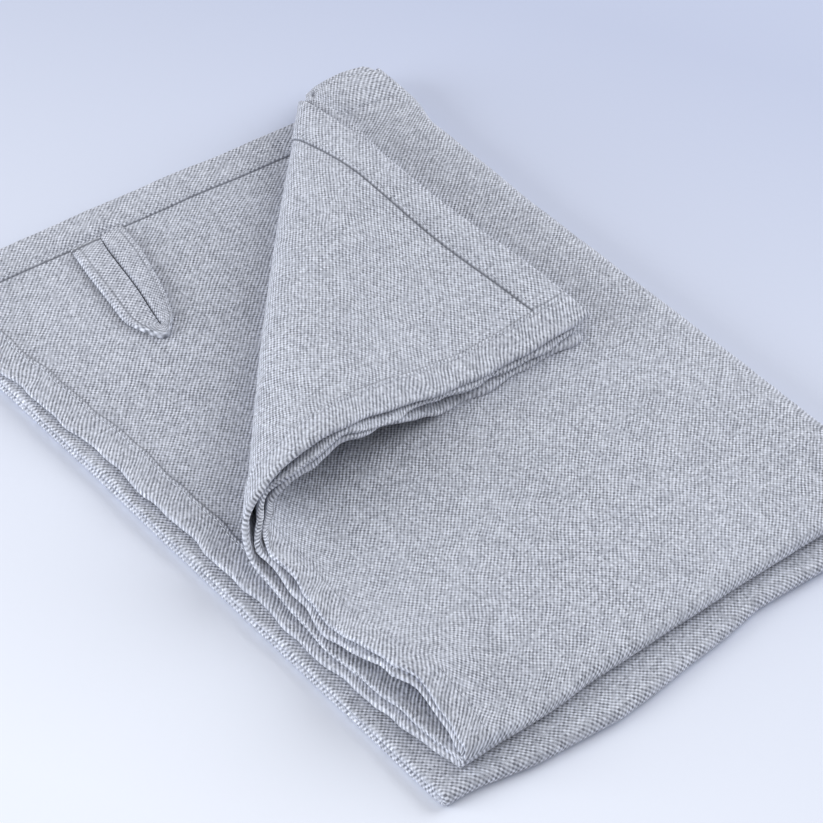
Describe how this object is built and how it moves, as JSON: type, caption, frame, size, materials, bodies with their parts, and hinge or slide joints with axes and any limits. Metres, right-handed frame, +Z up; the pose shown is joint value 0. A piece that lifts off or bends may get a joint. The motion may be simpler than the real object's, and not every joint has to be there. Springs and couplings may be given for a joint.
{
  "type": "hand towel",
  "caption": "Pale grey linen hand towel folded into a flat packet, one corner of the upper layers turned back to show the hemmed wrong side and the hanging loop.",
  "frame": {"origin": "the middle of the folded packet's underside, on the surface it lies on", "axes": "+X along the packet's long side, away from the edge that carries the loop; +Y along its short side, from the open hems to the folded back edge; +Z up"},
  "size_m": [0.2651, 0.1858, 0.0303],
  "materials": {
    "linen": "matte plain-weave linen, washed soft, undyed pale grey",
    "tape": "the same linen, folded double into a narrow strip"
  },
  "bodies": {
    "root": {"hand_towel": "linen", "hanging_loop": "tape"}
  },
  "joints": []
}
